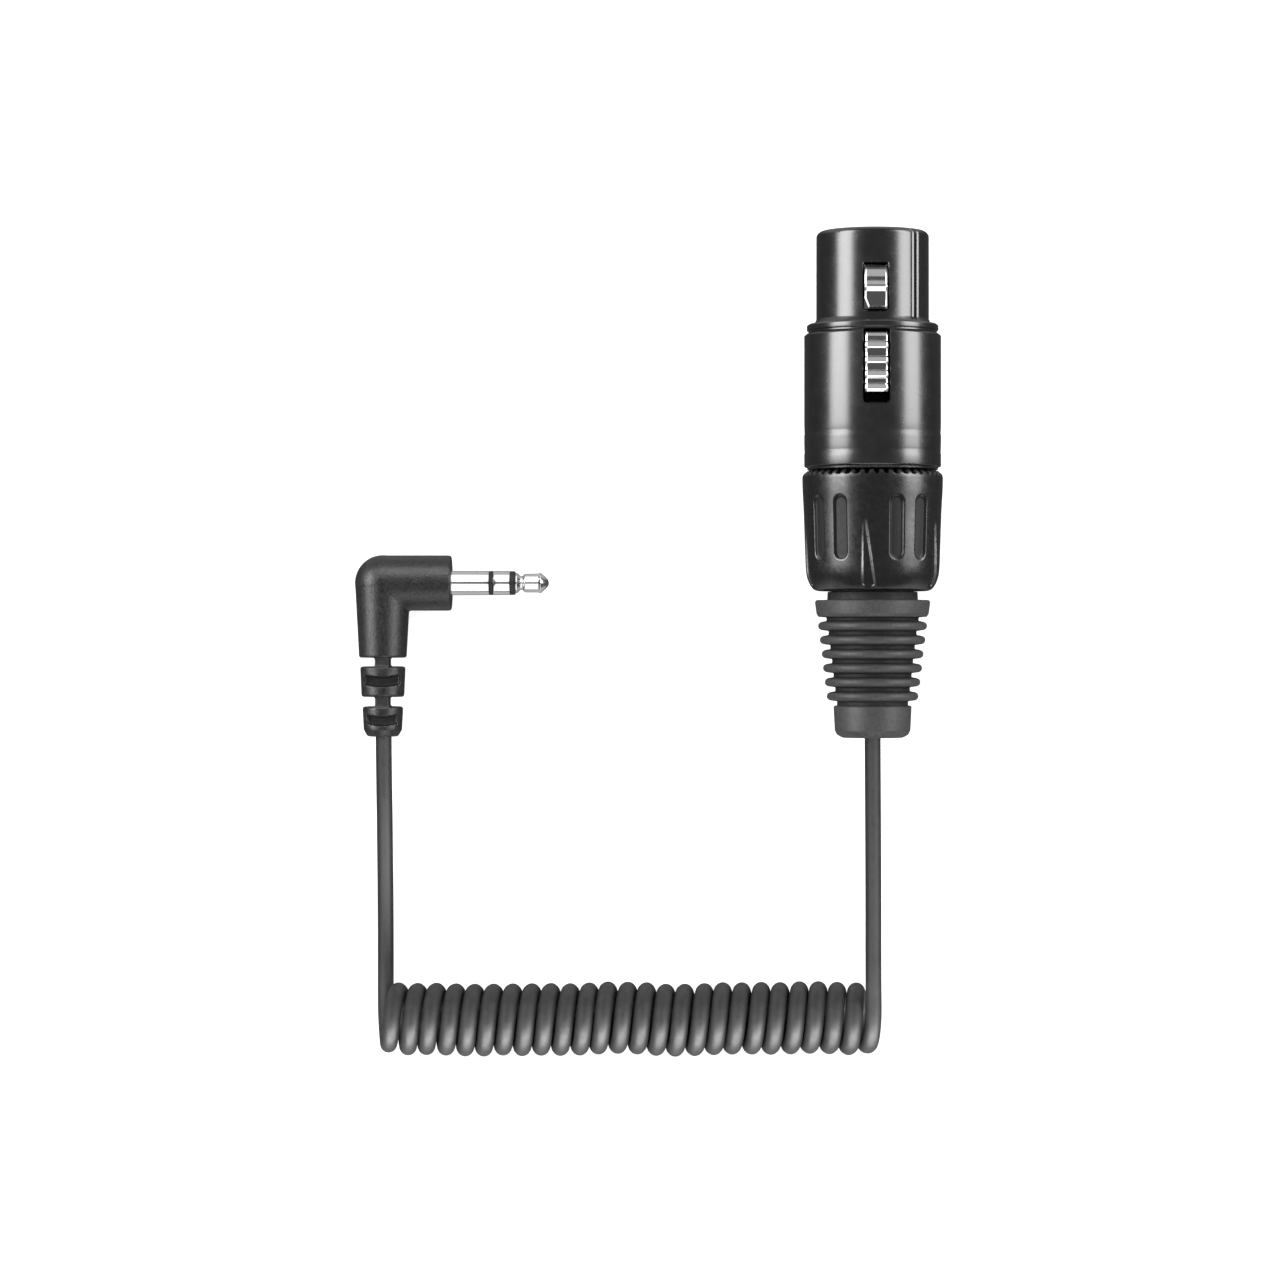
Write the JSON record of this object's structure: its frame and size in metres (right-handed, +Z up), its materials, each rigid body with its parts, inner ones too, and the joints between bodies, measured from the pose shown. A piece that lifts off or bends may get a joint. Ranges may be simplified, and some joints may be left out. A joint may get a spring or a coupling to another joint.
{
  "type": "coiled audio cable",
  "caption": "Coiled audio cable lying flat: latching female cable connector with screwed collar and ribbed boot, wound cord and right-angle mini jack plug.",
  "frame": {"origin": "on the standing surface, under the centre of the two connectors' common box", "axes": "+Y the way the large connector mates, +X the way the angled plug points, +Z up from the surface it lies on"},
  "size_m": [0.0841, 0.1178, 0.02],
  "materials": {
    "shell_metal": "gloss black chrome",
    "collar_metal": "satin black",
    "latch_chrome": "polished",
    "pin_steel": "drawn wire",
    "contact": "plated brass",
    "plug_plating": "nickel plated",
    "solder": "soft solder",
    "insulator": "moulded",
    "chuck_plastic": "moulded",
    "boot_rubber": "matt moulded rubber",
    "jack_mould": "fine textured soft plastic",
    "cord_jacket": "smooth cord jacket",
    "wire_red": "insulation",
    "wire_white": "insulation",
    "wire_bare": "twisted copper screen"
  },
  "bodies": {
    "connector": {"xlr_shell": "shell_metal", "xlr_insert": "insulator", "xlr_contact_1": "contact", "xlr_contact_2": "contact", "xlr_contact_3": "contact", "xlr_solder_1": "solder", "xlr_solder_2": "solder", "xlr_solder_3": "solder", "xlr_wire_1": "wire_bare", "xlr_wire_2": "wire_red", "xlr_wire_3": "wire_white", "xlr_cable_end": "cord_jacket", "xlr_ground_clip": "contact", "latch_pivot_pin": "pin_steel", "jack_plug_body": "jack_mould", "jack_sleeve": "plug_plating", "jack_insulator_rear": "insulator", "jack_ring_contact": "plug_plating", "jack_insulator_front": "insulator", "jack_tip_contact": "plug_plating", "jack_lug_sleeve": "contact", "jack_lug_ring": "contact", "jack_lug_tip": "contact", "jack_inner_mould": "chuck_plastic", "jack_cable_end": "cord_jacket", "jack_wire_tip": "wire_white", "jack_wire_ring": "wire_red", "jack_wire_sleeve": "wire_bare", "lead_jack": "cord_jacket", "cord_coil": "cord_jacket", "lead_xlr": "cord_jacket"},
    "latch": {"latch_lever": "latch_chrome", "latch_spring": "pin_steel"},
    "chuck": {"cable_chuck": "chuck_plastic"},
    "collar": {"collar_nut": "collar_metal", "rubber_boot": "boot_rubber"}
  },
  "joints": [
    {"name": "latch_press", "type": "hinge", "parent": "connector", "child": "latch", "pos_m": [0.032, 0.0112, 0.0159], "axis": [-1, 0, 0], "range_deg": [0, 3], "stiffness_Nm_per_rad": 0.3, "springref_deg": -0.23, "deforming": ["latch_spring"]},
    {"name": "chuck_travel", "type": "slide", "parent": "connector", "child": "chuck", "axis": [0, -1, 0], "range_m": [0, 0.0075]},
    {"name": "collar_turn", "type": "hinge", "parent": "chuck", "child": "collar", "pos_m": [0.032, -0.007, 0.01], "axis": [0, -1, 0], "range_deg": [0, 1800]}
  ],
  "couplings": [
    {"joint": "collar_turn", "follows": "chuck_travel", "rad_per_m": 4188.8}
  ]
}
